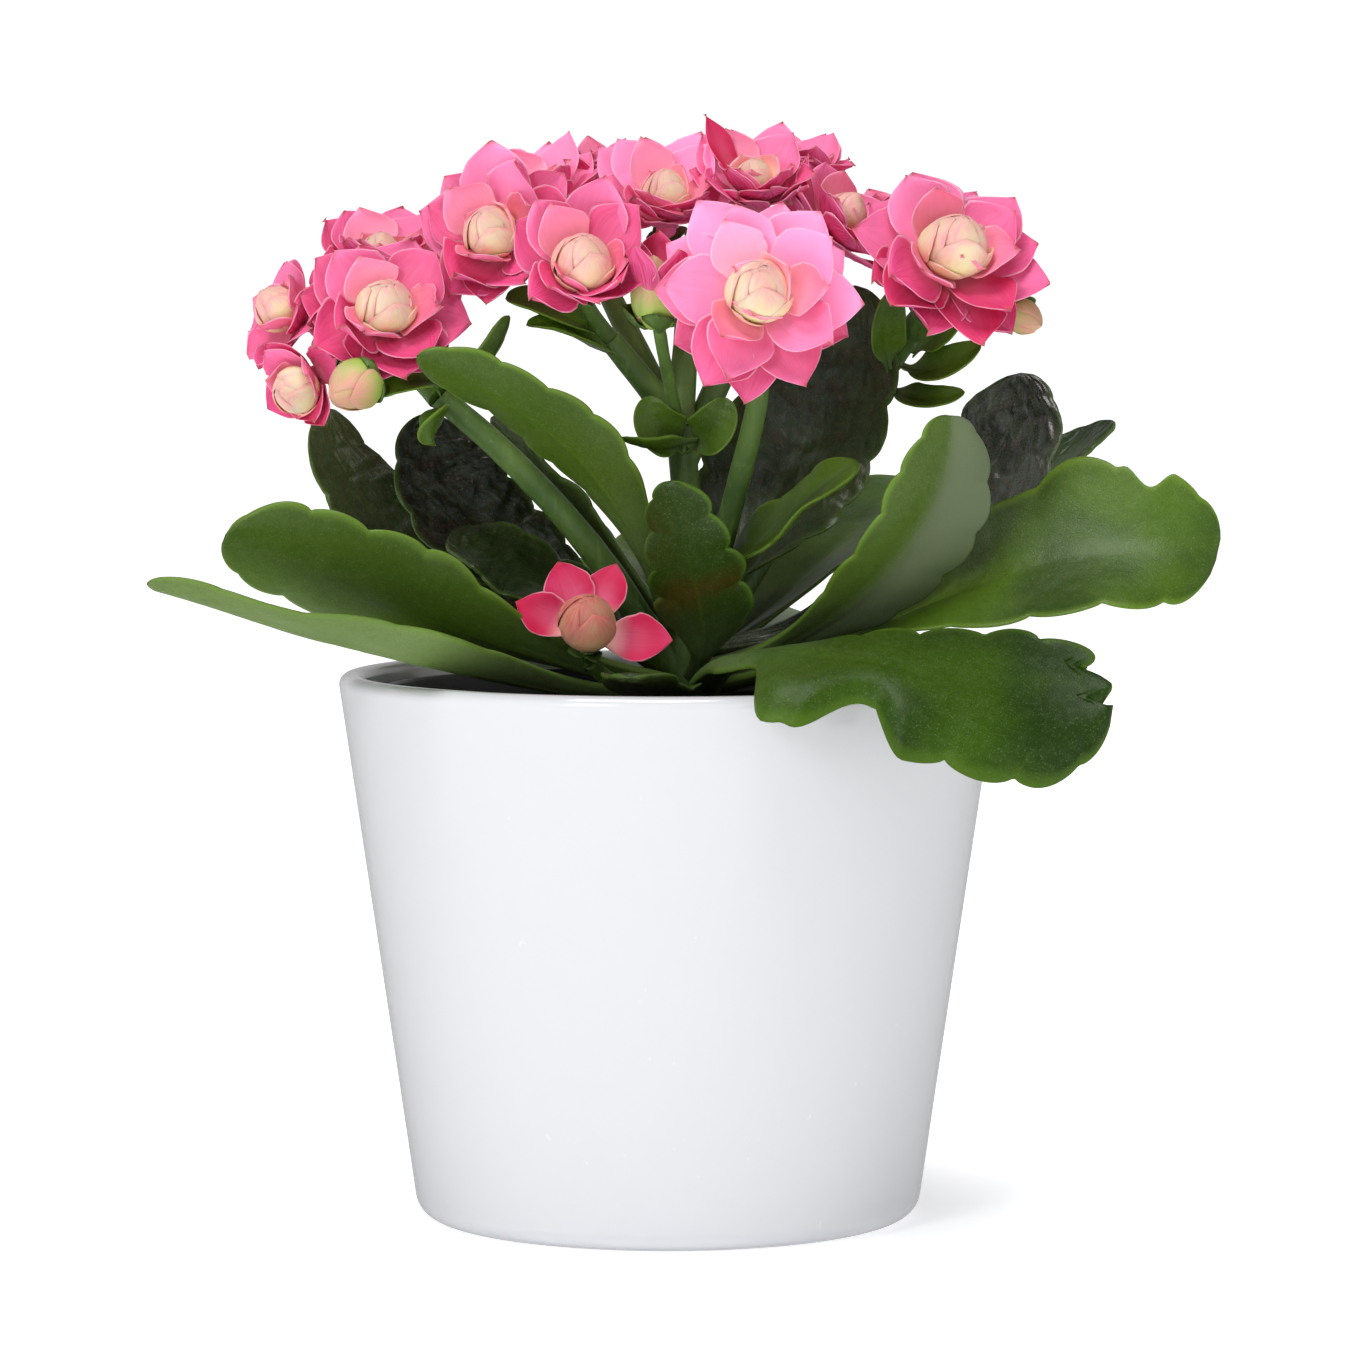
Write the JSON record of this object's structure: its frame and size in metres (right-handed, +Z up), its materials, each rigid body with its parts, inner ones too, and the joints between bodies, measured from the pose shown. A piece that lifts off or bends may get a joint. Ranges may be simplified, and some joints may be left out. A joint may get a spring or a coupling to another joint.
{
  "type": "potted flowering plant",
  "caption": "Compact potted kalanchoe with double pink blooms over scalloped fleshy leaves, in a plain tapered glazed pot.",
  "frame": {"origin": "centre of the pot's flat underside, on the surface that it stands on", "axes": "+Z up along the pot's axis, -Y towards the front of the plant as pictured, +X to its right"},
  "size_m": [0.1258, 0.0956, 0.1311],
  "materials": {
    "glaze": "gloss",
    "black_plastic": "satin",
    "soil": "matte",
    "stem": "satin",
    "leaf": "satin",
    "petal": "matte",
    "heart": "matte"
  },
  "bodies": {
    "root": {"bloom_back_left": "petal", "bloom_back_right": "petal", "bloom_centre_back": "petal", "bloom_centre_front": "petal", "bloom_centre_left": "petal", "bloom_centre_right": "petal", "bloom_centre_top": "petal", "bloom_left_front": "petal", "bloom_left_low": "petal", "bloom_left_side": "petal", "bloom_left_top": "petal", "bloom_low_front": "petal", "bloom_middle_back": "petal", "bloom_middle_front": "petal", "bloom_middle_left": "petal", "bloom_middle_top": "petal", "bloom_right_back": "petal", "bloom_right_front": "petal", "growing_pot": "black_plastic", "heart_back_left": "heart", "heart_back_right": "heart", "heart_centre_back": "heart", "heart_centre_front": "heart", "heart_centre_left": "heart", "heart_centre_right": "heart", "heart_centre_top": "heart", "heart_left_front": "heart", "heart_left_low": "heart", "heart_left_side": "heart", "heart_left_top": "heart", "heart_low_front": "heart", "heart_middle_back": "heart", "heart_middle_front": "heart", "heart_middle_left": "heart", "heart_middle_top": "heart", "heart_right_back": "heart", "heart_right_front": "heart", "leaf_back_centre": "leaf", "leaf_back_left": "leaf", "leaf_back_right": "leaf", "leaf_broad_left": "leaf", "leaf_broad_right": "leaf", "leaf_dark_left": "leaf", "leaf_dark_right": "leaf", "leaf_folded_back_left": "leaf", "leaf_folded_centre": "leaf", "leaf_front_curled": "leaf", "leaf_inner_left": "leaf", "leaf_long_left": "leaf", "leaf_rim_back": "leaf", "leaf_rim_left": "leaf", "leaf_rim_right": "leaf", "leaf_slim_left": "leaf", "leaf_small_back_right": "leaf", "leaf_small_front": "leaf", "leaf_tall_centre": "leaf", "leaf_upright_right": "leaf", "pot": "glaze", "soil": "soil", "stems": "stem"}
  },
  "joints": []
}
